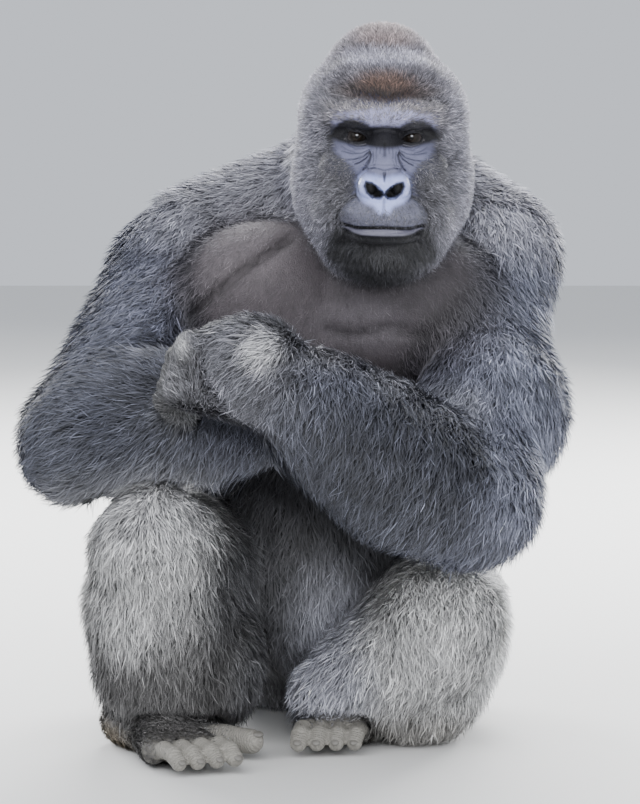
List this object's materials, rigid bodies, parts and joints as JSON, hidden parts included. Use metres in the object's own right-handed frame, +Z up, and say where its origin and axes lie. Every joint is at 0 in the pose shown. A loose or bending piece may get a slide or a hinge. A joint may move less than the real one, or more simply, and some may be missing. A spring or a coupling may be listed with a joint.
{
  "type": "gorilla",
  "caption": "Adult male gorilla that squats with its arms crossed on its knees, a still life-size model that rests on the floor on its feet and rump.",
  "frame": {"origin": "on the floor, under the middle of the bounding box", "axes": "+Z up, -Y the way the gorilla faces, +X towards its left side"},
  "size_m": [0.8196, 0.8453, 1.0748],
  "materials": {
    "dark_coat": "matte",
    "grey_coat": "matte",
    "head_coat": "matte",
    "bare_skin": "satin",
    "eye": "gloss"
  },
  "bodies": {
    "root": {"trunk": "dark_coat", "neck": "dark_coat", "head": "head_coat", "upper_arm_r": "dark_coat", "forearm_r": "dark_coat", "upper_arm_l": "dark_coat", "forearm_l": "dark_coat", "hand_r": "bare_skin", "hand_l": "bare_skin", "thigh_r": "grey_coat", "shank_r": "grey_coat", "thigh_l": "grey_coat", "shank_l": "grey_coat", "foot_r": "bare_skin", "foot_l": "bare_skin", "ear_r": "bare_skin", "ear_l": "bare_skin", "eye_r": "eye", "eye_l": "eye"}
  },
  "joints": []
}
